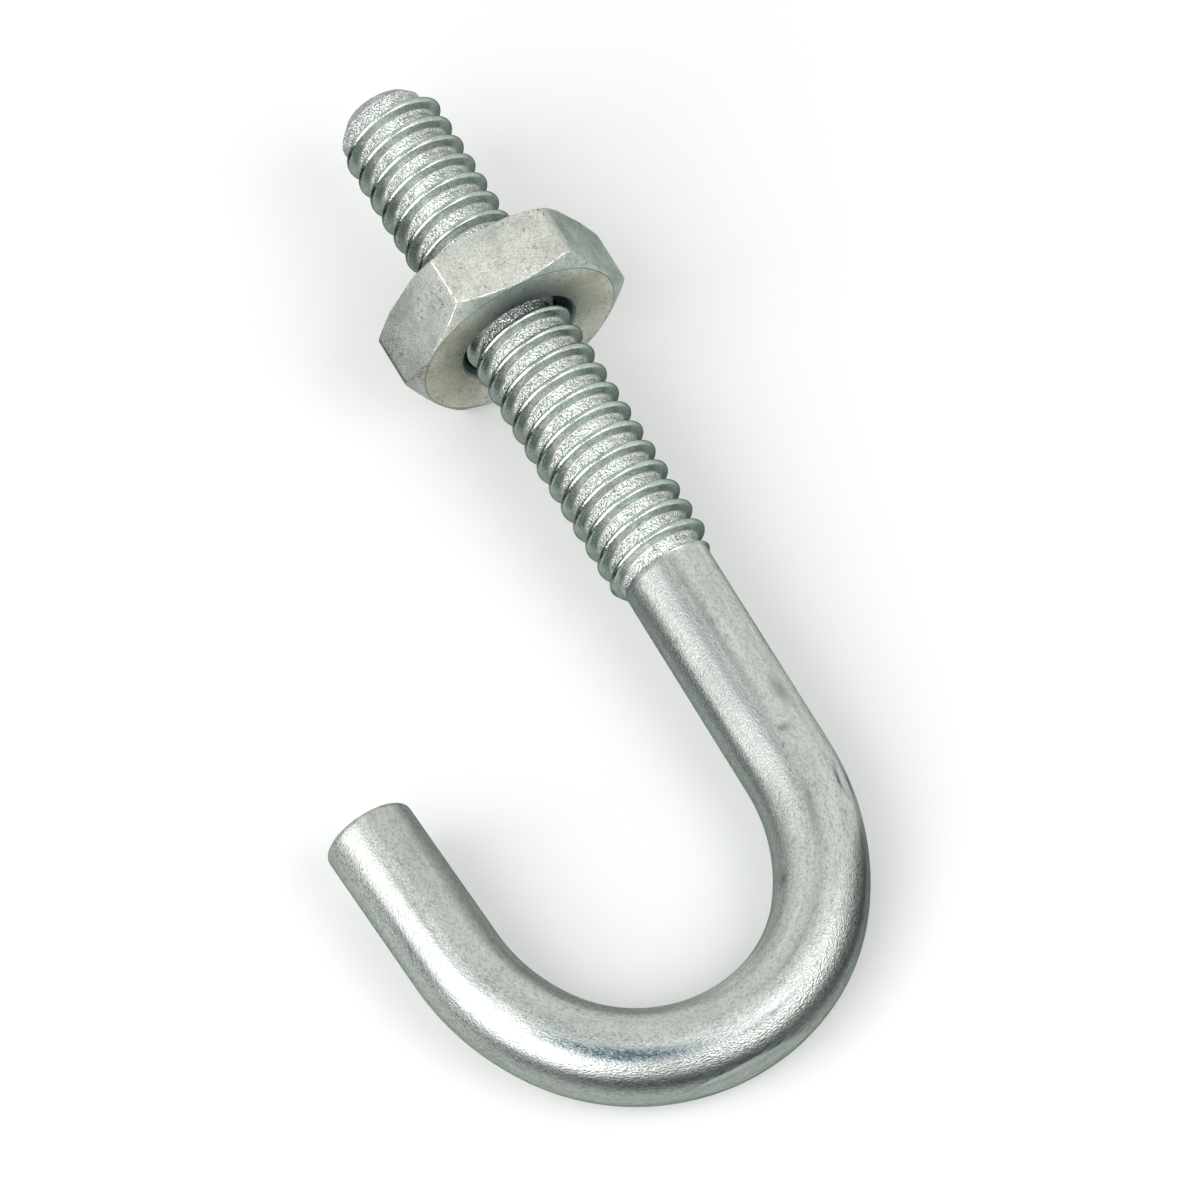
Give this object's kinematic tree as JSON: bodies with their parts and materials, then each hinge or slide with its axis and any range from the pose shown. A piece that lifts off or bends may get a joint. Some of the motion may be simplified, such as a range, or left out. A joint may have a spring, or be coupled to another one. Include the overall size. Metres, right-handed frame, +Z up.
{
  "type": "j bolt with hex nut",
  "caption": "J-shaped hook bolt bent from one round wire, with a coarse right-hand thread on its straight end and a hexagon nut on the thread.",
  "frame": {"origin": "on the floor, under the middle of the box round the whole bolt as it lies on its side", "axes": "+X runs along the floor from the hook towards the threaded end, which is raised a little by the nut; +Y runs across from the shank to the open tip; +Z is up from the floor"},
  "size_m": [0.047, 0.0238, 0.0095],
  "materials": {
    "bolt_zinc": "satin zinc plating over drawn wire",
    "nut_zinc": "satin zinc plating with faint stains"
  },
  "bodies": {
    "bolt": {"j_bolt": "bolt_zinc"},
    "nut": {"hex_nut": "nut_zinc"}
  },
  "joints": [
    {"name": "nut_travel", "type": "slide", "parent": "bolt", "child": "nut", "axis": [0.9968, 0, 0.0805], "range_m": [-0.01164, 0.00953]}
  ]
}
